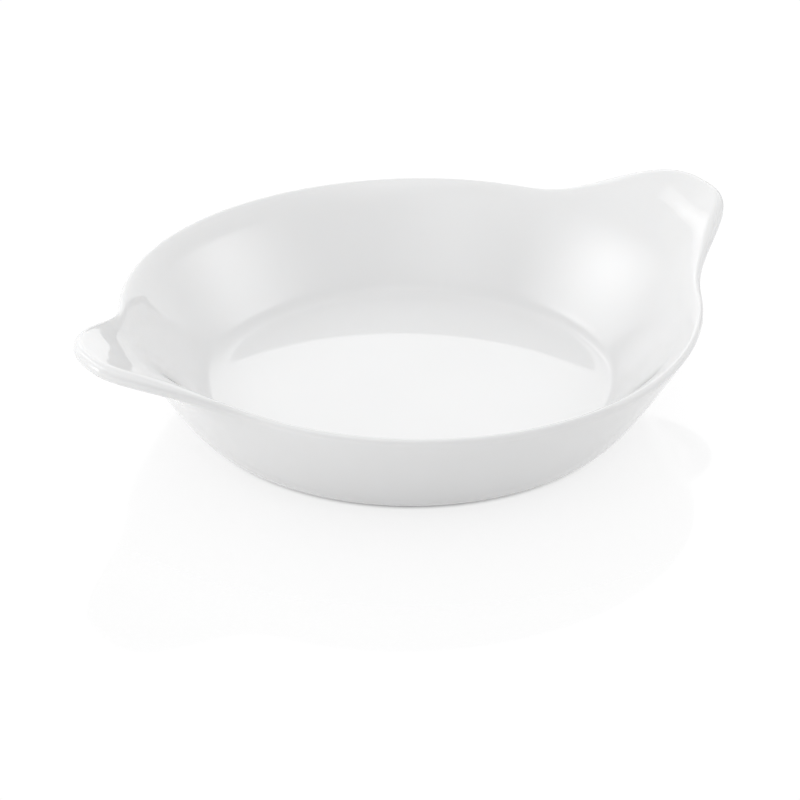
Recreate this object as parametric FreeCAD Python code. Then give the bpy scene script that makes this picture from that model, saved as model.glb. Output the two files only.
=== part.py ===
"""Round eared gratin dish in white porcelain: floor, flared wall, two ears, bare foot ring and glaze.

Millimetres, +Z up. The origin is the middle of the foot on the table, and the ears lie along X.
"""
import FreeCAD, Part
import math
import os

Vector = FreeCAD.Vector

# Driving dimensions: bowl
BOWL_RADIUS = 90.0  # outside of the wall at its top, square to the ears
RIM_HEIGHT = 33.2  # that edge above the table
RIM_SWEEP = 2.1  # how much the rim climbs from the sides towards the ears
FLOOR_THICKNESS = 4.6  # glaze included, over and under
LIP_THICKNESS = 3.4  # rounded lip along the sides, glaze included
LIP_SLOPE = 5.9  # how far down the inside the lip's rounding runs, easing to nothing at the ears' tips
LIP_INSET = 5.05  # from the outside of the rim in to the line of the inner wall, measured level
GLAZE_THICKNESS = 0.35

# Driving dimensions: foot and heel
FOOT_RADIUS = 63.2  # outside of the bare ring that stands on the table
FOOT_WIDTH = 6.0  # that ring, from its outside to its inside
FOOT_ROUND = 0.25  # rounding of the ring's two lower edges
HEEL_CLEARANCE = 0.3  # glazed heel above the table where it meets the ring
HEEL_OVERHANG = 6.1  # from the ring to the corner that the heel rounds off
HEEL_TOP = 18.0  # where the heel's curve has become the straight wall
HEEL_TIGHTNESS = 0.79  # 0 cuts the corner straight, 1 follows it
HEEL_THICKNESS = 10.9  # of the wall at the height of the floor, measured level, glaze included
WELL_REACH = 5.1  # from the corner between floor and wall inside, in to where the floor is flat
WELL_TOP = 11.3  # where the curve of that corner has become the straight wall
WELL_TIGHTNESS = 0.88  # share, as the heel's
RECESS_DEPTH = 2.8  # hollow of the underside inside the ring

# Driving dimensions: ears
EAR_REACH = 22.2  # how far an ear stands out past the bowl
EAR_RISE = 8.5  # how far its tip stands above the swept rim
EAR_FALL = 5.3  # from the tip down to the corner where it leaves the wall
SIDE_FALL = 0.32  # the same along the sides, as a share of the straight wall
EAR_THICKNESS = 4.9  # at the tip, glaze included
EAR_TIGHTNESS = 0.84  # of the bend where it leaves the wall
EAR_CROWN = 0.2  # degrees off the X axis over which it keeps its full reach
EAR_SPREAD = 35.9  # degrees off the X axis where its flank runs into the rim
EAR_TAPER = 1.45  # power, above 1 the flank is drawn in towards the tip
EAR_SQUARENESS = 0.13  # 0 ends it on an arc about the bowl's axis, 1 on a straight edge
RISE_CROWN = 3.8  # degrees, as the crown, but for the height of the rim
RISE_SPREAD = 38.1  # degrees, as the spread, but for that height
RISE_TAPER = 1.47  # power, as the taper, but for that height
ROOT_CROWN = 0.8  # degrees, as the crown, but for the bend where the ear leaves the wall
ROOT_SPREAD = 30.3  # degrees
ROOT_TAPER = 1.63  # power
TOP_FALL = 6.0  # on its top, from the edge down to the corner where the wall goes down inside
TOP_SIDE_FALL = 0.255  # the same along the sides, as a share of the straight wall inside
TOP_TIGHTNESS = 0.93  # of the bend at that corner
TOP_CROWN = 0.5  # degrees, as the crown, but for that bend
TOP_SPREAD = 42.0  # degrees
TOP_TAPER = 1.21  # power
EAR_SEAM_OFFSET = 2.0  # from the bowl's radius out to the flat face where ear and wall meet

# Make of the formed surfaces
COLUMNS = 72  # sections taken round the dish
SIDE_TIGHTNESS = 2.0 / 3.0  # leaves the wall straight where there is no ear
ARC_TIGHTNESS = 4.0 / 3.0 * math.tan(math.pi / 8.0)  # makes a rounded corner a quarter circle

FLOOR_TOP = RECESS_DEPTH + FLOOR_THICKNESS
FLOOR_UNDERSIDE = RECESS_DEPTH + GLAZE_THICKNESS
FOOT_INNER_RADIUS = FOOT_RADIUS - FOOT_WIDTH
HEEL_RADIUS = FOOT_RADIUS + HEEL_OVERHANG
WALL_LEAN = (BOWL_RADIUS - HEEL_RADIUS) / (RIM_HEIGHT - HEEL_CLEARANCE)
WELL_RADIUS = HEEL_RADIUS + WALL_LEAN * (FLOOR_TOP - HEEL_CLEARANCE) - HEEL_THICKNESS
FLOOR_RADIUS = WELL_RADIUS - WELL_REACH
INNER_LEAN = (BOWL_RADIUS - LIP_INSET - WELL_RADIUS) / (RIM_HEIGHT - FLOOR_TOP)
EAR_SEAM = BOWL_RADIUS + EAR_SEAM_OFFSET
SEAM_TURN = math.pi / 2.0  # the formed surface closes on itself at a side, clear of the ears
TURNS = [SEAM_TURN + 2.0 * math.pi * column / COLUMNS for column in range(COLUMNS)]


def mix(start, end, share):
    return start + (end - start) * share


def off_axis(turn):
    """Degrees from the nearer ear's middle line."""
    return math.degrees(math.asin(abs(math.sin(turn))))


def ear_share(turn, crown, spread, taper):
    """1 on an ear's middle line, easing to 0 at the given spread off the X axis."""
    share = min(max((spread - off_axis(turn)) / (spread - crown), 0.0), 1.0) ** taper
    return share ** 3 * (10.0 - 15.0 * share + 6.0 * share ** 2)


def wall_line(height):
    """Point (radius, height) on the straight outer wall."""
    return HEEL_RADIUS + WALL_LEAN * (height - HEEL_CLEARANCE), height


def inner_line(height):
    """Point (radius, height) on the straight inner wall."""
    return WELL_RADIUS + INNER_LEAN * (height - FLOOR_TOP), height


def inward_of(start, end):
    """Unit direction to the inside of the dish, square to a line that climbs from start to end."""
    along = (end[0] - start[0], end[1] - start[1])
    length = math.hypot(*along)
    return -along[1] / length, along[0] / length


def moved(point, direction, distance):
    return point[0] + direction[0] * distance, point[1] + direction[1] * distance


def mitre(first, second):
    """Direction in which a corner moves when the two lines that meet there move inwards by 1."""
    scale = 1.0 + first[0] * second[0] + first[1] * second[1]
    return (first[0] + second[0]) / scale, (first[1] + second[1]) / scale


def at_height(start, end, height):
    """Point at a height on the line through two points."""
    share = (height - start[1]) / (end[1] - start[1])
    return mix(start[0], end[0], share), height


def rounded_corner(start, corner, end, tightness):
    """Control points of a curve from start to end that rounds off a corner."""
    start_arm = [mix(a, b, tightness) for a, b in zip(start, corner)]
    end_arm = [mix(a, b, tightness) for a, b in zip(end, corner)]
    return [start, start_arm, end_arm, end]


def section(turn, depth):
    """Half section at one turn, as the control points of six curves in (radius, height).

    They run up the outside, over the lip and down to the floor, the given depth under the finished surface.
    """
    reach = ear_share(turn, EAR_CROWN, EAR_SPREAD, EAR_TAPER)
    rise = ear_share(turn, RISE_CROWN, RISE_SPREAD, RISE_TAPER)
    root = ear_share(turn, ROOT_CROWN, ROOT_SPREAD, ROOT_TAPER)
    top = ear_share(turn, TOP_CROWN, TOP_SPREAD, TOP_TAPER)
    flank_turn = math.radians(min(off_axis(turn), EAR_SPREAD))
    squaring = mix(1.0, 1.0 / math.cos(flank_turn), EAR_SQUARENESS)
    tip_radius = mix(BOWL_RADIUS, (BOWL_RADIUS + EAR_REACH) * squaring, reach)
    tip_height = RIM_HEIGHT + RIM_SWEEP * math.cos(turn) ** 2 + EAR_RISE * rise
    fall = mix((tip_height - HEEL_TOP) * SIDE_FALL, EAR_FALL, root)
    bend = mix(SIDE_TIGHTNESS, EAR_TIGHTNESS, root)
    inner_bend = mix(SIDE_TIGHTNESS, TOP_TIGHTNESS, top)
    end_thickness = mix(LIP_THICKNESS, EAR_THICKNESS, reach)
    end_slope = mix(LIP_SLOPE, 0.0, reach)

    foot_edge = (FOOT_RADIUS, HEEL_CLEARANCE)
    heel_corner = wall_line(HEEL_CLEARANCE)
    ear_corner = wall_line(tip_height - fall)
    tip = (tip_radius, tip_height)
    up = (0.0, 1.0)
    off_wall = inward_of(heel_corner, ear_corner)
    off_ear = inward_of(ear_corner, tip)
    outward = (off_ear[1], -off_ear[0])

    outer_foot = moved(foot_edge, up, depth)
    outer_heel = moved(heel_corner, mitre(up, off_wall), depth)
    outer_ear = moved(ear_corner, mitre(off_wall, off_ear), depth)
    outer_tip = moved(tip, off_ear, depth)
    outer_heel_end = at_height(outer_heel, outer_ear, HEEL_TOP)

    well_corner = inner_line(FLOOR_TOP)
    top_edge = moved(tip, off_ear, end_thickness)
    top_fall = mix((top_edge[1] - WELL_TOP) * TOP_SIDE_FALL, TOP_FALL, top)
    top_corner = inner_line(top_edge[1] - top_fall)
    off_well = inward_of(well_corner, top_corner)
    off_top = inward_of(top_corner, top_edge)
    top_outward = (off_top[1], -off_top[0])
    inner_floor = (FLOOR_RADIUS, FLOOR_TOP - depth)
    inner_heel = moved(well_corner, mitre(up, off_well), -depth)
    inner_ear = moved(top_corner, mitre(off_well, off_top), -depth)
    inner_tip = moved(tip, off_ear, end_thickness - depth)
    inner_heel_end = at_height(inner_heel, inner_ear, WELL_TOP)

    lip_radius = end_thickness / 2.0 - depth
    crest = moved(moved(tip, off_ear, end_thickness / 2.0), outward, lip_radius)
    lip_run = lip_radius / (off_top[0] * off_ear[0] + off_top[1] * off_ear[1])
    slope_end = moved(inner_tip, top_outward, -end_slope)
    return [
        rounded_corner(outer_foot, outer_heel, outer_heel_end, HEEL_TIGHTNESS),
        rounded_corner(outer_heel_end, outer_ear, outer_tip, bend),
        rounded_corner(outer_tip, moved(outer_tip, outward, lip_radius), crest, ARC_TIGHTNESS),
        rounded_corner(crest, moved(inner_tip, top_outward, lip_run), slope_end, ARC_TIGHTNESS),
        rounded_corner(slope_end, inner_ear, inner_heel_end, inner_bend),
        rounded_corner(inner_heel_end, inner_heel, inner_floor, WELL_TIGHTNESS),
    ]


def ring_curve(points):
    """Smooth closed curve through one (radius, height) point for each turn."""
    places = []
    for turn, (radius, height) in zip(TURNS, points):
        places.append(Vector(radius * math.cos(turn), radius * math.sin(turn), height))
    curve = Part.BSplineCurve()
    curve.interpolate(Points=places, PeriodicFlag=True, Parameters=TURNS + [SEAM_TURN + 2.0 * math.pi])
    return curve


def formed_skin(depth):
    """Faces from the foot up the outside and down to the floor, with their first and last rings."""
    sections = [section(turn, depth) for turn in TURNS]
    faces = []
    rings = []
    for strip in zip(*sections):
        curves = [ring_curve(points) for points in zip(*strip)]
        around = curves[0]
        surface = Part.BSplineSurface()
        surface.buildFromPolesMultsKnots(
            [curve.getPoles() for curve in curves],
            [4, 4], around.getMultiplicities(), [0.0, 1.0], around.getKnots(),
            False, True, 3, around.Degree)
        faces.append(surface.toShape())
        rings += [curves[0], curves[-1]]
    return faces, Part.Wire(rings[0].toShape()), Part.Wire(rings[-1].toShape())


def sewn_solid(faces):
    """One solid from faces that meet edge to edge."""
    shell = Part.Shell(faces)
    shell.sewShape()
    solid = Part.Solid(shell)
    if solid.Volume < 0.0:
        solid.reverse()
    return solid


def disc(radius, bottom, top):
    return Part.makeCylinder(radius, top - bottom, Vector(0.0, 0.0, bottom))


def at_level(ring, height):
    """Copy of a level ring at another height."""
    copy = ring.copy()
    copy.translate(Vector(0.0, 0.0, height - ring.CenterOfMass.z))
    return copy


def shaped_body(skin):
    """Wall and ears in one, bored out in two steps where the foot ring and the floor go."""
    faces, foot_edge, floor_edge = skin
    foot_step = at_level(foot_edge, FLOOR_UNDERSIDE)
    floor_step = at_level(floor_edge, FLOOR_UNDERSIDE)
    shelf = Part.makeFace([foot_step, floor_step], "Part::FaceMakerBullseye")
    foot_bore = Part.makeLoft([foot_edge, foot_step], False, True)
    floor_bore = Part.makeLoft([floor_step, floor_edge], False, True)
    return sewn_solid(faces + foot_bore.Faces + shelf.Faces + floor_bore.Faces)


def split_ears(body):
    """The wall, the left ear and the right ear, parted on flat faces."""
    span = 2.0 * (EAR_SEAM + EAR_REACH + EAR_THICKNESS)
    between = Part.makeBox(2.0 * EAR_SEAM, span, span, Vector(-EAR_SEAM, -span / 2.0, -span / 2.0))
    wall = body.common(between).Solids[0]
    ears = sorted(body.cut(between).Solids, key=lambda ear: ear.CenterOfMass.x)
    return wall, ears[0], ears[-1]


def glaze_coat(glaze_skin, body_skin):
    """Coat over the dish down to the foot ring, and a disc in the hollow of the underside."""
    outer_faces, outer_foot, outer_floor = glaze_skin
    under_faces, under_foot, under_floor = body_skin
    edge = Part.makeLoft([outer_foot, under_foot], False, True)
    coat = sewn_solid(outer_faces + under_faces + edge.Faces + [Part.Face(outer_floor), Part.Face(under_floor)])
    underside = disc(FOOT_INNER_RADIUS, RECESS_DEPTH, FLOOR_UNDERSIDE)
    return Part.Compound([coat, underside])


def foot_ring():
    """Bare ring under the margin of the floor, its two lower edges rounded."""
    ring = disc(FOOT_RADIUS, 0.0, FLOOR_UNDERSIDE).cut(disc(FOOT_INNER_RADIUS, 0.0, FLOOR_UNDERSIDE))
    lower_edges = [edge for edge in ring.Edges if edge.BoundBox.ZMax < FOOT_ROUND / 2.0]
    return ring.makeFillet(min(FOOT_ROUND, FOOT_WIDTH / 3.0), lower_edges)


def main():
    glaze_skin = formed_skin(0.0)
    body_skin = formed_skin(GLAZE_THICKNESS)
    wall, left_ear, right_ear = split_ears(shaped_body(body_skin))
    nodes = {
        "floor": disc(FLOOR_RADIUS, FLOOR_UNDERSIDE, FLOOR_TOP - GLAZE_THICKNESS),
        "wall": wall,
        "left_ear": left_ear,
        "right_ear": right_ear,
        "foot_ring": foot_ring(),
        "glaze": glaze_coat(glaze_skin, body_skin),
    }
    os.makedirs("parts", exist_ok=True)
    for name, shape in nodes.items():
        shape.exportStep(f"parts/{name}.step")
        box = shape.BoundBox
        print(name, "valid", shape.isValid(), "solids", len(shape.Solids), "volume", round(shape.Volume, 1),
              "size", round(box.XLength, 2), round(box.YLength, 2), round(box.ZLength, 2),
              "z", round(box.ZMin, 2), round(box.ZMax, 2))


main()
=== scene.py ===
"""Round eared gratin dish in white glazed porcelain, lit and seen as in its photograph.

Metres, +Z up. The origin is the middle of the foot on the table, and the ears lie along X.
"""

import math

import bpy
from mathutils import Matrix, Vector


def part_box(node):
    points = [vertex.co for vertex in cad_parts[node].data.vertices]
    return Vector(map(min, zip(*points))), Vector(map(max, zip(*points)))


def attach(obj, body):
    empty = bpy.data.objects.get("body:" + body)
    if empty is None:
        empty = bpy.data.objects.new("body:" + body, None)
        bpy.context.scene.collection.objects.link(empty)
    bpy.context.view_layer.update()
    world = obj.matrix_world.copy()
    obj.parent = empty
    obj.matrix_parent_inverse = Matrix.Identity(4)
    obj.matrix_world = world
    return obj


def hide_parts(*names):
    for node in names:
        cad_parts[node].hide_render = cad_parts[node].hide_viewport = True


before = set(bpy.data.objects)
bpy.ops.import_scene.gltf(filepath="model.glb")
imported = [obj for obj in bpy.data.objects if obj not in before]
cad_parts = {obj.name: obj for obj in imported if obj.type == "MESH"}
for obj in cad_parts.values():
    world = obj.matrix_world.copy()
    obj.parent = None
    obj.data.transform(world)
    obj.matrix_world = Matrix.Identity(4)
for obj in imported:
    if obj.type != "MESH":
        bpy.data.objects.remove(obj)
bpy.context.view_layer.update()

# Bowl
BOWL_RADIUS = 0.0900  # outside of the wall at its top, square to the ears
RIM_HEIGHT = 0.0332  # that edge above the table
RIM_SWEEP = 0.0021  # how much the rim climbs from the sides towards the ears
FLOOR_THICKNESS = 0.0046
LIP_THICKNESS = 0.0034  # rounded lip along the sides
LIP_SLOPE = 0.0059  # how far down the inside its rounding runs, easing to nothing at the ears' tips
LIP_INSET = 0.00505  # from the outside of the rim in to the line of the inner wall, measured level

# Foot and heel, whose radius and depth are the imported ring's
FOOT_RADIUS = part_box("foot_ring")[1].x
FOOT_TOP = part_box("foot_ring")[1].z
FOOT_WIDTH = 0.0060
FOOT_ROUND = 0.00025
HEEL_CLEARANCE = 0.0003  # glazed heel above the table where it meets the ring
HEEL_OVERHANG = 0.0061  # from the ring to the corner that the heel rounds off
HEEL_TOP = 0.0180  # where the heel's curve has become the straight wall
HEEL_TIGHTNESS = 0.79  # 0 cuts the corner straight, 1 follows it
HEEL_THICKNESS = 0.0109  # of the wall at the height of the floor, measured level
WELL_REACH = 0.0051  # from the corner between floor and wall inside, in to where the floor is flat
WELL_TOP = 0.0113  # where the curve of that corner has become the straight wall
WELL_TIGHTNESS = 0.88  # share, as the heel's
RECESS_DEPTH = 0.0028  # hollow of the underside inside the ring
GLAZE_FILLET = 0.0006  # glaze pooled where the hollow meets the ring
GLAZE_BEAD = 0.00015  # rounded end of the glaze above the ring

# Ears
EAR_REACH = 0.0222  # how far an ear stands out past the bowl
EAR_RISE = 0.0085  # how far its tip stands above the swept rim
EAR_FALL = 0.0053  # from the tip down to the corner where it leaves the wall
SIDE_FALL = 0.32  # the same along the sides, as a share of the straight wall
EAR_THICKNESS = 0.0049
EAR_TIGHTNESS = 0.84  # of the bend where it leaves the wall
EAR_CROWN = 0.2  # degrees off the X axis over which it keeps its full reach
EAR_SPREAD = 35.9  # degrees off the X axis where its flank runs into the rim
EAR_TAPER = 1.45  # power, above 1 the flank is drawn in towards the tip
EAR_SQUARENESS = 0.13  # 0 ends it on an arc about the bowl's axis, 1 on a straight edge
RISE_CROWN = 3.8  # degrees, as the crown, but for the height of the rim
RISE_SPREAD = 38.1  # degrees, as the spread, but for that height
RISE_TAPER = 1.47  # power, as the taper, but for that height
ROOT_CROWN = 0.8  # degrees, as the crown, but for the bend where the ear leaves the wall
ROOT_SPREAD = 30.3  # degrees
ROOT_TAPER = 1.63  # power
TOP_FALL = 0.0060  # on its top, from the edge down to the corner where the wall goes down inside
TOP_SIDE_FALL = 0.255  # the same along the sides, as a share of the straight wall inside
TOP_TIGHTNESS = 0.93  # of the bend at that corner
TOP_CROWN = 0.5  # degrees, as the crown, but for that bend
TOP_SPREAD = 42.0  # degrees
TOP_TAPER = 1.21  # power

# Make of the meshes
COLUMNS = 480  # sections taken round the dish
HEEL_STEPS = 18
WALL_STEPS = 26
LIP_STEPS = 9
FLOOR_STEPS = 14
ROUND_STEPS = 5
SIDE_TIGHTNESS = 2.0 / 3.0  # leaves the wall straight where there is no ear
ARC_TIGHTNESS = 4.0 / 3.0 * math.tan(math.pi / 8.0)  # makes a rounded corner a quarter circle
SHARP_ANGLE = math.radians(50.0)

FLOOR_TOP = RECESS_DEPTH + FLOOR_THICKNESS
FOOT_INNER_RADIUS = FOOT_RADIUS - FOOT_WIDTH
HEEL_RADIUS = FOOT_RADIUS + HEEL_OVERHANG
WALL_LEAN = (BOWL_RADIUS - HEEL_RADIUS) / (RIM_HEIGHT - HEEL_CLEARANCE)
WELL_RADIUS = HEEL_RADIUS + WALL_LEAN * (FLOOR_TOP - HEEL_CLEARANCE) - HEEL_THICKNESS
FLOOR_RADIUS = WELL_RADIUS - WELL_REACH
INNER_LEAN = (BOWL_RADIUS - LIP_INSET - WELL_RADIUS) / (RIM_HEIGHT - FLOOR_TOP)

# Camera, fitted to the photograph's outlines
CAMERA_AZIMUTH = -33.05  # degrees, 0 looks along +Y
CAMERA_ELEVATION = 28.25
CAMERA_DISTANCE = 1.1705
CAMERA_LENS = 168.12  # millimetres
SENSOR_WIDTH = 36.0  # millimetres
AIM_RIGHT = -0.0033  # the point in the middle of the picture, from the origin, along the picture's axes
AIM_UP = 0.00097

# Glaze, a little less glossy on the bends beside the ears
GLAZE_DARK = (0.868, 0.870, 0.871, 1.0)
GLAZE_LIGHT = (0.880, 0.882, 0.884, 1.0)
GLAZE_IOR = 1.52
GLAZE_DEPTH = 0.0025  # how far light spreads under the surface
GLAZE_DEPTH_SHARE = 0.12  # how much of it does
GLAZE_DEPTH_TINT = (1.0, 0.95, 0.88)
RIPPLE_HEIGHT = 0.00004
GLAZE_ROUGHNESS = 0.04
BEND_ROUGHNESS = 0.09  # added on the bends
BEND_STOPS = [(12.0, 0.0), (18.0, 1.0), (30.0, 1.0), (38.0, 0.0)]  # degrees off the X axis, share
BEND_LOW = 0.018  # height where it starts
BEND_HIGH = 0.026  # height where it is full

# Bare porcelain of the foot
BARE_DARK = (0.76, 0.735, 0.69, 1.0)
BARE_LIGHT = (0.84, 0.825, 0.79, 1.0)
BARE_ROUGHNESS = 0.75
GRAIN_HEIGHT = 0.00005

# Table and surround, where 1 is white
WHITE = (1.0, 1.0, 1.0, 1.0)
SURROUND_LEVEL = 0.69  # pale room round the table, on what it lights
TABLE_RADIUS = 0.5
TABLE_SIDES = 96
TABLE_SHADE = 0.90  # its colour in the shade and in the light that it throws back
TABLE_MIRROR = 0.05  # how much of it is a mirror
TABLE_MIRROR_ROUGHNESS = 0.06
SHADE_START = 0.0642  # radius under the heel, where the table is in full shade
SHADE_EDGE = 0.0668  # where most of its white is back
SHADE_REACH = 0.13  # where all of it is
EDGE_WHITE = 0.84

# Lamps and grey bands round the table, which only gloss shows
SOFTBOX_DISTANCE = 1.2
SOFTBOX_SIZE = (1.90, 0.42)
SOFTBOX_TILT = 33.0  # degrees
PANEL_DISTANCE = 1.3
FILL_DISTANCE = 1.5
STRIP_GAP = 0.01  # a strip's distance before its softbox or panel
LAMP_MIDDLE = (0.5, 0.5, 0.0)  # in a lamp's own measure, which runs from 0 to 1
LAMP_EDGE = 0.5  # from its middle, in that measure
FLAG_RADIUS = 0.70
FLAG_STEPS = 32


def mix(start, end, share):
    return start + (end - start) * share


# Shape of the dish

def off_axis(turn):
    """Degrees from the nearer ear's middle line."""
    return math.degrees(math.asin(abs(math.sin(turn))))


def ear_share(turn, crown, spread, taper):
    """1 on an ear's middle line, easing to 0 at the given spread off the X axis."""
    share = min(max((spread - off_axis(turn)) / (spread - crown), 0.0), 1.0) ** taper
    return share ** 3 * (10.0 - 15.0 * share + 6.0 * share ** 2)


def wall_line(height):
    """Point (radius, height) on the straight outer wall."""
    return Vector((HEEL_RADIUS + WALL_LEAN * (height - HEEL_CLEARANCE), height))


def inner_line(height):
    """Point (radius, height) on the straight inner wall."""
    return Vector((WELL_RADIUS + INNER_LEAN * (height - FLOOR_TOP), height))


def at_height(start, end, height):
    """Point at a height on the line through two points."""
    return start.lerp(end, (height - start.y) / (end.y - start.y))


def rounded_corner(start, corner, end, tightness, steps):
    """Points along a cubic curve from start to end that rounds off a corner, its end left to the next one."""
    near_start = start.lerp(corner, tightness)
    near_end = end.lerp(corner, tightness)
    points = []
    for step in range(steps):
        share = step / steps
        rest = 1.0 - share
        points.append(rest ** 3 * start + 3.0 * rest ** 2 * share * near_start
                      + 3.0 * rest * share ** 2 * near_end + share ** 3 * end)
    return points


def formed_section(turn):
    """Points (radius, height) from the foot up the outside, over the lip and down to the floor's edge."""
    reach = ear_share(turn, EAR_CROWN, EAR_SPREAD, EAR_TAPER)
    rise = ear_share(turn, RISE_CROWN, RISE_SPREAD, RISE_TAPER)
    root = ear_share(turn, ROOT_CROWN, ROOT_SPREAD, ROOT_TAPER)
    top = ear_share(turn, TOP_CROWN, TOP_SPREAD, TOP_TAPER)
    flank_turn = math.radians(min(off_axis(turn), EAR_SPREAD))
    squaring = mix(1.0, 1.0 / math.cos(flank_turn), EAR_SQUARENESS)
    tip_radius = mix(BOWL_RADIUS, (BOWL_RADIUS + EAR_REACH) * squaring, reach)
    tip_height = RIM_HEIGHT + RIM_SWEEP * math.cos(turn) ** 2 + EAR_RISE * rise
    fall = mix((tip_height - HEEL_TOP) * SIDE_FALL, EAR_FALL, root)
    bend = mix(SIDE_TIGHTNESS, EAR_TIGHTNESS, root)
    inner_bend = mix(SIDE_TIGHTNESS, TOP_TIGHTNESS, top)
    end_thickness = mix(LIP_THICKNESS, EAR_THICKNESS, reach)
    end_slope = mix(LIP_SLOPE, 0.0, reach)

    foot_edge = Vector((FOOT_RADIUS, HEEL_CLEARANCE))
    heel_corner = wall_line(HEEL_CLEARANCE)
    ear_corner = wall_line(tip_height - fall)
    tip = Vector((tip_radius, tip_height))
    outward = (tip - ear_corner).normalized()
    off_ear = Vector((-outward.y, outward.x))
    heel_end = at_height(heel_corner, ear_corner, HEEL_TOP)

    inner_floor = Vector((FLOOR_RADIUS, FLOOR_TOP))
    inner_heel = inner_line(FLOOR_TOP)
    inner_tip = tip + off_ear * end_thickness
    inner_fall = mix((inner_tip.y - WELL_TOP) * TOP_SIDE_FALL, TOP_FALL, top)
    inner_ear = inner_line(inner_tip.y - inner_fall)
    inner_heel_end = at_height(inner_heel, inner_ear, WELL_TOP)
    top_outward = (inner_tip - inner_ear).normalized()
    slope_end = inner_tip - top_outward * end_slope
    lip_radius = end_thickness / 2.0
    crest = tip.lerp(inner_tip, 0.5) + outward * lip_radius
    outer_lip = tip + outward * lip_radius
    inner_lip = inner_tip + top_outward * lip_radius / top_outward.dot(outward)
    return (rounded_corner(foot_edge, heel_corner, heel_end, HEEL_TIGHTNESS, HEEL_STEPS)
            + rounded_corner(heel_end, ear_corner, tip, bend, WALL_STEPS)
            + rounded_corner(tip, outer_lip, crest, ARC_TIGHTNESS, LIP_STEPS)
            + rounded_corner(crest, inner_lip, slope_end, ARC_TIGHTNESS, LIP_STEPS)
            + rounded_corner(slope_end, inner_ear, inner_heel_end, inner_bend, WALL_STEPS)
            + rounded_corner(inner_heel_end, inner_heel, inner_floor, WELL_TIGHTNESS, HEEL_STEPS))


def flat_run(outer_radius, height):
    """Points from a radius inwards, short of the axis."""
    radii = [outer_radius * (FLOOR_STEPS - step) / FLOOR_STEPS for step in range(FLOOR_STEPS)]
    return [Vector((radius, height)) for radius in radii]


def underside_section():
    """Points from near the axis out over the hollow of the underside and the groove that holds the ring."""
    hollow_edge = Vector((FOOT_INNER_RADIUS - GLAZE_FILLET, RECESS_DEPTH))
    hollow_corner = Vector((FOOT_INNER_RADIUS, RECESS_DEPTH))
    fillet_end = Vector((FOOT_INNER_RADIUS, RECESS_DEPTH - GLAZE_FILLET))
    bead_start = Vector((FOOT_RADIUS, HEEL_CLEARANCE + GLAZE_BEAD))
    hollow = flat_run(hollow_edge.x, RECESS_DEPTH)
    fillet = rounded_corner(hollow_edge, hollow_corner, fillet_end, ARC_TIGHTNESS, ROUND_STEPS)
    groove = [Vector((FOOT_INNER_RADIUS, FOOT_TOP)), Vector((FOOT_RADIUS, FOOT_TOP))]
    return list(reversed(hollow))[:-1] + fillet + [fillet_end] + groove + [bead_start]


def lathe_mesh(name, sections, bottom=None, top=None):
    """Closed mesh through one list of (radius, height) points for each column.

    With a bottom and a top the rows run between two points on the axis.
    Without them they close on themselves.
    """
    columns = len(sections)
    rows = len(sections[0])
    vertices = []
    for column, points in enumerate(sections):
        turn = 2.0 * math.pi * column / columns
        vertices += [(point.x * math.cos(turn), point.x * math.sin(turn), point.y) for point in points]
    faces = []
    closed = bottom is None
    for column in range(columns):
        here = column * rows
        beside = (column + 1) % columns * rows
        for row in range(rows if closed else rows - 1):
            above = (row + 1) % rows
            faces.append((here + row, beside + row, beside + above, here + above))
    if not closed:
        low = len(vertices)
        vertices += [(0.0, 0.0, bottom), (0.0, 0.0, top)]
        for column in range(columns):
            here = column * rows
            beside = (column + 1) % columns * rows
            faces.append((low, beside, here))
            faces.append((low + 1, here + rows - 1, beside + rows - 1))
    mesh = bpy.data.meshes.new(name)
    mesh.from_pydata(vertices, [], faces)
    mesh.shade_smooth()
    mesh.set_sharp_from_angle(angle=SHARP_ANGLE)
    piece = bpy.data.objects.new(name, mesh)
    bpy.context.scene.collection.objects.link(piece)
    return piece


def glazed_dish():
    """Everything that the glaze covers, as one unbroken skin."""
    under = underside_section()
    floor = flat_run(FLOOR_RADIUS, FLOOR_TOP)
    sections = []
    for column in range(COLUMNS):
        sections.append(under + formed_section(2.0 * math.pi * column / COLUMNS) + floor)
    return lathe_mesh("glazed_dish", sections, bottom=RECESS_DEPTH, top=FLOOR_TOP)


def bare_ring():
    """Unglazed foot with its two lower edges rounded."""
    inner_low = Vector((FOOT_INNER_RADIUS, 0.0))
    outer_low = Vector((FOOT_RADIUS, 0.0))
    across = Vector((FOOT_ROUND, 0.0))
    up = Vector((0.0, FOOT_ROUND))
    section = [Vector((FOOT_INNER_RADIUS, FOOT_TOP))]
    section += rounded_corner(inner_low + up, inner_low, inner_low + across, ARC_TIGHTNESS, ROUND_STEPS)
    section += [inner_low + across]
    section += rounded_corner(outer_low - across, outer_low, outer_low + up, ARC_TIGHTNESS, ROUND_STEPS)
    section += [outer_low + up, Vector((FOOT_RADIUS, FOOT_TOP))]
    return lathe_mesh("bare_foot_ring", [section] * COLUMNS)


# Nodes

def empty_tree(owner):
    """Node tree of a material, a lamp or the world, emptied."""
    owner.use_nodes = True
    owner.node_tree.nodes.clear()
    return owner.node_tree


def add_node(tree, kind, sockets, operation=None):
    """Node whose sockets, by name or number, are set to values or linked to other nodes' outputs."""
    node = tree.nodes.new(kind)
    if operation:
        node.operation = operation
    for socket, value in sockets.items():
        if isinstance(value, bpy.types.NodeSocket):
            tree.links.new(value, node.inputs[socket])
        else:
            node.inputs[socket].default_value = value
    return node


def add_math(tree, operation, *values):
    """Result of a sum on numbers and other nodes' outputs."""
    return add_node(tree, "ShaderNodeMath", dict(enumerate(values)), operation).outputs["Value"]


def add_noise(tree, place, scale, detail):
    sockets = {"Vector": place, "Scale": scale, "Detail": detail}
    return add_node(tree, "ShaderNodeTexNoise", sockets).outputs["Fac"]


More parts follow.
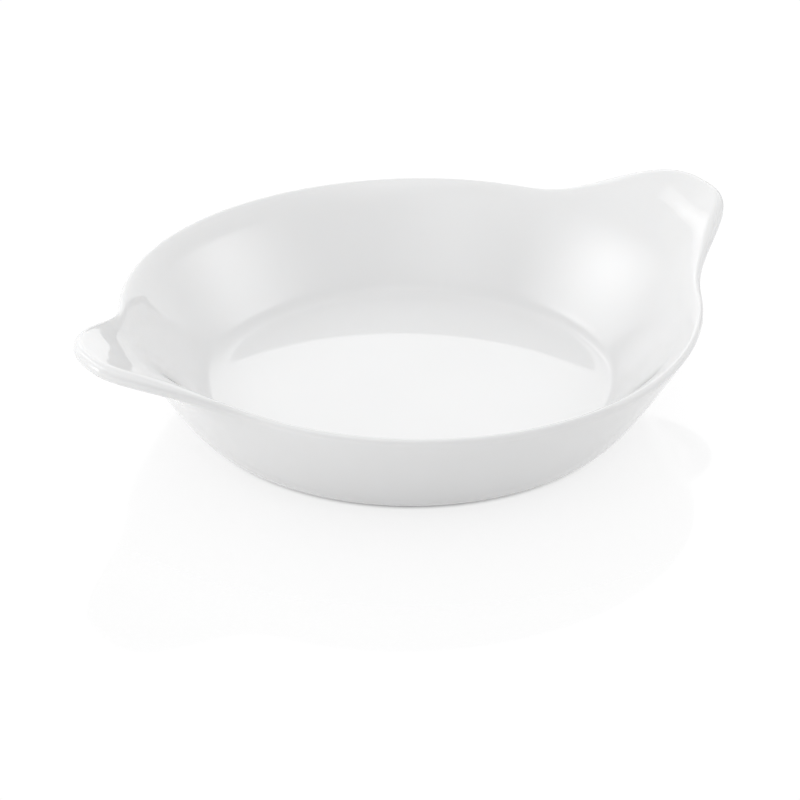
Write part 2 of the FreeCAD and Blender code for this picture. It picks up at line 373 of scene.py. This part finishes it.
def add_bump(tree, height, strength, distance):
    sockets = {"Height": height, "Strength": strength, "Distance": distance}
    return add_node(tree, "ShaderNodeBump", sockets).outputs["Normal"]


def add_ramp(tree, value, stops, interpolation="LINEAR"):
    """Colour for a value, from stops that are positions with their colours in rising order."""
    node = add_node(tree, "ShaderNodeValToRGB", {"Fac": value})
    node.color_ramp.interpolation = interpolation
    elements = node.color_ramp.elements
    while len(elements) < len(stops):
        elements.new(1.0)
    for element, (position, color) in zip(elements, stops):
        element.position = position
        element.color = color
    return node.outputs["Color"]


def add_ease(tree, value, low, high, at_low=0.0, at_high=1.0):
    """Number that eases from one level to another while a value goes from low to high."""
    sockets = {"Value": value, "From Min": low, "From Max": high, "To Min": at_low, "To Max": at_high}
    node = add_node(tree, "ShaderNodeMapRange", sockets)
    node.interpolation_type = "SMOOTHSTEP"
    return node.outputs["Result"]


def own_place(tree):
    """Place in the object's own coordinates."""
    return tree.nodes.new("ShaderNodeTexCoord").outputs["Object"]


def grey(level):
    return (level, level, level, 1.0)


# Materials

def glaze_roughness(tree, place):
    """Even gloss, but for the bends near the rim beside the ears."""
    level = add_node(tree, "ShaderNodeVectorMath", {0: place, 1: (1.0, 1.0, 0.0)}, "MULTIPLY")
    outward = add_node(tree, "ShaderNodeVectorMath", {0: level.outputs["Vector"]}, "NORMALIZE")
    outward_axes = add_node(tree, "ShaderNodeSeparateXYZ", {"Vector": outward.outputs["Vector"]})
    off_ears = add_math(tree, "ABSOLUTE", outward_axes.outputs["Y"])
    stops = [(math.sin(math.radians(angle)), grey(share)) for angle, share in BEND_STOPS]
    beside_ears = add_ramp(tree, off_ears, stops, "EASE")
    place_axes = add_node(tree, "ShaderNodeSeparateXYZ", {"Vector": place})
    near_rim = add_ease(tree, place_axes.outputs["Z"], BEND_LOW, BEND_HIGH)
    bend = add_math(tree, "MULTIPLY", beside_ears, near_rim)
    return add_math(tree, "MULTIPLY_ADD", bend, BEND_ROUGHNESS, GLAZE_ROUGHNESS)


def glaze_material():
    """Clear gloss glaze over white porcelain, with a faint drift of tone and the ripple of melted glass."""
    material = bpy.data.materials.new("glaze_gloss_white")
    tree = empty_tree(material)
    place = own_place(tree)
    drift = add_noise(tree, place, scale=22.0, detail=2.0)
    ripple = add_noise(tree, place, scale=160.0, detail=1.0)
    body = add_node(tree, "ShaderNodeBsdfPrincipled", {
        "Base Color": add_ramp(tree, drift, [(0.35, GLAZE_DARK), (0.65, GLAZE_LIGHT)]),
        "Roughness": glaze_roughness(tree, place),
        "IOR": GLAZE_IOR,
        "Normal": add_bump(tree, ripple, strength=0.05, distance=RIPPLE_HEIGHT),
        "Subsurface Weight": GLAZE_DEPTH_SHARE,
        "Subsurface Radius": GLAZE_DEPTH_TINT,
        "Subsurface Scale": GLAZE_DEPTH,
    })
    add_node(tree, "ShaderNodeOutputMaterial", {"Surface": body.outputs["BSDF"]})
    return material


def bare_material():
    """Unglazed porcelain, matt and fine grained."""
    material = bpy.data.materials.new("foot_bare_porcelain")
    tree = empty_tree(material)
    grain = add_noise(tree, own_place(tree), scale=1800.0, detail=4.0)
    body = add_node(tree, "ShaderNodeBsdfPrincipled", {
        "Base Color": add_ramp(tree, grain, [(0.30, BARE_DARK), (0.62, BARE_LIGHT)]),
        "Roughness": BARE_ROUGHNESS,
        "Normal": add_bump(tree, grain, strength=0.4, distance=GRAIN_HEIGHT),
    })
    add_node(tree, "ShaderNodeOutputMaterial", {"Surface": body.outputs["BSDF"]})
    return material


def seen_rays(tree):
    """1 for rays that see the background: from the camera, off gloss and through glass."""
    path = tree.nodes.new("ShaderNodeLightPath")
    seen = path.outputs["Is Camera Ray"]
    for name in ("Is Glossy Ray", "Is Transmission Ray"):
        seen = add_math(tree, "MAXIMUM", seen, path.outputs[name])
    return seen


def table_material():
    """White table with a faint mirror image, in shade only under the heel and a little round it."""
    material = bpy.data.materials.new("table_white")
    tree = empty_tree(material)
    radius = add_node(tree, "ShaderNodeVectorMath", {0: own_place(tree)}, "LENGTH").outputs["Value"]
    reach = add_math(tree, "DIVIDE", radius, SHADE_REACH)
    stops = [(SHADE_START / SHADE_REACH, grey(0.0)),
             (SHADE_EDGE / SHADE_REACH, grey(EDGE_WHITE)),
             (1.0, WHITE)]
    white_share = add_math(tree, "MULTIPLY", add_ramp(tree, reach, stops), seen_rays(tree))
    lit = add_node(tree, "ShaderNodeBsdfDiffuse", {"Color": grey(TABLE_SHADE)}).outputs["BSDF"]
    white = add_node(tree, "ShaderNodeEmission", {"Color": WHITE, "Strength": 1.0}).outputs["Emission"]
    matt = add_node(tree, "ShaderNodeMixShader", {"Fac": white_share, 1: lit, 2: white}).outputs["Shader"]
    mirror = add_node(tree, "ShaderNodeBsdfGlossy", {"Color": WHITE, "Roughness": TABLE_MIRROR_ROUGHNESS})
    surface = add_node(tree, "ShaderNodeMixShader", {"Fac": TABLE_MIRROR, 1: matt, 2: mirror.outputs["BSDF"]})
    add_node(tree, "ShaderNodeOutputMaterial", {"Surface": surface.outputs["Shader"]})
    return material


def flag_material(level):
    """Grey that the glaze mirrors as a dark line between white and white."""
    material = bpy.data.materials.new("flag_grey")
    tree = empty_tree(material)
    light = add_node(tree, "ShaderNodeEmission", {"Color": WHITE, "Strength": level})
    add_node(tree, "ShaderNodeOutputMaterial", {"Surface": light.outputs["Emission"]})
    return material


# Stage

def direction(azimuth, elevation):
    """Unit vector towards a place round the dish, 0 being on the -Y side, in degrees."""
    turn = math.radians(azimuth)
    lift = math.radians(elevation)
    return Vector((math.sin(turn) * math.cos(lift), -math.cos(turn) * math.cos(lift), math.sin(lift)))


def add_camera():
    data = bpy.data.cameras.new("camera")
    data.lens = CAMERA_LENS
    data.sensor_width = SENSOR_WIDTH
    camera = bpy.data.objects.new("camera", data)
    back = direction(CAMERA_AZIMUTH, CAMERA_ELEVATION)
    right = Vector((0.0, 0.0, 1.0)).cross(back).normalized()
    aim = right * AIM_RIGHT + back.cross(right) * AIM_UP
    camera.location = aim + back * CAMERA_DISTANCE
    camera.rotation_euler = (-back).to_track_quat("-Z", "Y").to_euler()
    bpy.context.scene.collection.objects.link(camera)
    bpy.context.scene.camera = camera


def add_table():
    bpy.ops.mesh.primitive_circle_add(vertices=TABLE_SIDES, radius=TABLE_RADIUS, fill_type="NGON")
    table = bpy.context.object
    table.name = "table"
    table.data.materials.append(table_material())


def add_flag(name, start, end, bottom, top, level):
    """Upright band between two azimuths counted from the camera's.

    It lights and shades nothing, and the camera doesn't see it.
    """
    vertices = []
    for step in range(FLAG_STEPS + 1):
        away = direction(CAMERA_AZIMUTH + mix(start, end, step / FLAG_STEPS), 0.0) * FLAG_RADIUS
        vertices += [(away.x, away.y, bottom), (away.x, away.y, top)]
    faces = [(2 * step, 2 * step + 2, 2 * step + 3, 2 * step + 1) for step in range(FLAG_STEPS)]
    mesh = bpy.data.meshes.new(name)
    mesh.from_pydata(vertices, [], faces)
    mesh.materials.append(flag_material(level))
    flag = bpy.data.objects.new(name, mesh)
    bpy.context.scene.collection.objects.link(flag)
    flag.visible_camera = False
    flag.visible_diffuse = False
    flag.visible_shadow = False


def add_world():
    """White to the camera and the glaze, and a plain pale room to what it lights."""
    world = bpy.data.worlds.new("surround")
    tree = empty_tree(world)
    light = add_node(tree, "ShaderNodeBackground", {"Color": WHITE, "Strength": SURROUND_LEVEL})
    white = add_node(tree, "ShaderNodeBackground", {"Color": WHITE, "Strength": 1.0})
    either = add_node(tree, "ShaderNodeMixShader", {
        "Fac": seen_rays(tree),
        1: light.outputs["Background"],
        2: white.outputs["Background"],
    })
    add_node(tree, "ShaderNodeOutputWorld", {"Surface": either.outputs["Shader"]})
    bpy.context.scene.world = world


def add_softbox(name, azimuth, elevation, distance, size, level, edge=0.0, roll=0.0):
    """Rectangular lamp that faces the dish, its azimuth counted from the camera's.

    It looks as bright as the level in its middle, 1 being white, and fades to a share of that at its edge.
    Its roll, in degrees, is about its own axis.
    """
    width, height = size
    data = bpy.data.lights.new(name, "AREA")
    data.shape = "RECTANGLE"
    data.size = width
    data.size_y = height
    data.energy = level * math.pi * width * height
    tree = empty_tree(data)
    place = tree.nodes.new("ShaderNodeNewGeometry").outputs["Parametric"]
    off_middle = add_node(tree, "ShaderNodeVectorMath", {0: place, 1: LAMP_MIDDLE}, "DISTANCE")
    fade = add_ease(tree, off_middle.outputs["Value"], 0.0, LAMP_EDGE, at_low=1.0, at_high=edge)
    light = add_node(tree, "ShaderNodeEmission", {"Strength": fade})
    add_node(tree, "ShaderNodeOutputLight", {"Surface": light.outputs["Emission"]})
    lamp = bpy.data.objects.new(name, data)
    away = direction(CAMERA_AZIMUTH + azimuth, elevation)
    lamp.location = away * distance
    lamp.rotation_euler = away.to_track_quat("Z", "Y").to_euler()
    lamp.rotation_euler.rotate_axis("Z", math.radians(roll))
    bpy.context.scene.collection.objects.link(lamp)


def add_side_lamps():
    """A tilted softbox at each side, with a brighter strip before it."""
    strip_distance = SOFTBOX_DISTANCE - STRIP_GAP
    add_softbox("softbox_left", azimuth=-109.1, elevation=33.6, distance=SOFTBOX_DISTANCE,
                size=SOFTBOX_SIZE, level=2.4, roll=SOFTBOX_TILT)
    add_softbox("strip_left", azimuth=-109.6, elevation=34.2, distance=strip_distance,
                size=(0.90, 0.20), level=0.8, roll=SOFTBOX_TILT)
    add_softbox("softbox_right", azimuth=101.1, elevation=34.8, distance=SOFTBOX_DISTANCE,
                size=SOFTBOX_SIZE, level=1.6, roll=-SOFTBOX_TILT)
    add_softbox("strip_right", azimuth=103.5, elevation=36.3, distance=strip_distance,
                size=(0.90, 0.16), level=0.8, roll=-SOFTBOX_TILT)


def add_back_lamps():
    """A broad panel behind the dish, with a brighter strip before it."""
    add_softbox("panel_back", azimuth=180.0, elevation=26.0, distance=PANEL_DISTANCE,
                size=(2.30, 1.20), level=0.80, edge=0.15)
    add_softbox("strip_back", azimuth=-154.0, elevation=36.0, distance=PANEL_DISTANCE - STRIP_GAP,
                size=(0.22, 0.66), level=1.6, edge=0.4)


def add_fills():
    """Soft light from the front, the sides and above."""
    add_softbox("fill_front", azimuth=-20.0, elevation=54.0, distance=FILL_DISTANCE,
                size=(1.80, 1.00), level=0.82)
    add_softbox("fill_left", azimuth=-62.0, elevation=10.0, distance=FILL_DISTANCE,
                size=(1.40, 0.80), level=0.6)
    add_softbox("fill_side", azimuth=-85.0, elevation=4.0, distance=FILL_DISTANCE,
                size=(1.20, 0.70), level=5.4)
    add_softbox("fill_right", azimuth=35.0, elevation=10.0, distance=FILL_DISTANCE,
                size=(1.40, 0.60), level=0.3)
    add_softbox("fill_top", azimuth=0.0, elevation=85.0, distance=FILL_DISTANCE,
                size=(1.50, 1.50), level=0.87)


dish = glazed_dish()
dish.data.materials.append(glaze_material())
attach(dish, "root")
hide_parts("glaze", "floor", "wall", "left_ear", "right_ear")

ring = bare_ring()
ring.data.materials.append(bare_material())
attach(ring, "root")
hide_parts("foot_ring")

add_table()
add_flag("flag_back", start=132.0, end=192.0, bottom=-0.120, top=0.105, level=0.45)
add_flag("flag_front", start=-80.0, end=80.0, bottom=0.000, top=0.560, level=0.12)
add_world()
add_side_lamps()
add_back_lamps()
add_fills()
add_camera()
bpy.context.scene.view_settings.view_transform = "Standard"
